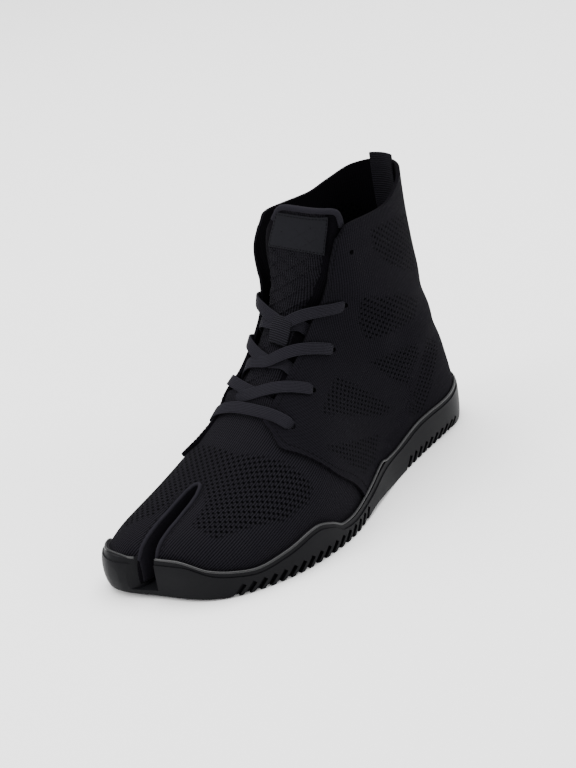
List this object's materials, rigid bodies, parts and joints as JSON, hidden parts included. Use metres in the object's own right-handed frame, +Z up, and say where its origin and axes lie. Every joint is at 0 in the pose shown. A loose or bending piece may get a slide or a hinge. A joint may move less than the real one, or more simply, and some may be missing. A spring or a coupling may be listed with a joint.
{
  "type": "tabi sneaker",
  "caption": "Knitted high-top sneaker with a split toe, lace-up throat and a moulded rubber cup sole with wavy edges and slanted lugs.",
  "frame": {"origin": "on the floor under the middle of the shoe's box", "axes": "+X to the toe, +Y to the wearer's left, which is the lateral side, +Z up"},
  "size_m": [0.272, 0.1058, 0.1822],
  "materials": {
    "knit_cloth": "rib knit, matt with a slight sheen",
    "sole_rubber": "moulded, satin",
    "insole_foam": "cloth-covered foam, matt",
    "webbing": "ribbed woven webbing, matt",
    "lace_cord": "flat woven lace, matt"
  },
  "bodies": {
    "root": {"outsole": "sole_rubber", "insole": "insole_foam", "upper": "knit_cloth", "tongue": "knit_cloth", "tongue_label": "webbing", "lace_keeper": "webbing", "heel_tab": "webbing", "lace_bar": "lace_cord", "lace_cross_1": "lace_cord", "lace_cross_2": "lace_cord", "lace_cross_3": "lace_cord"}
  },
  "joints": []
}
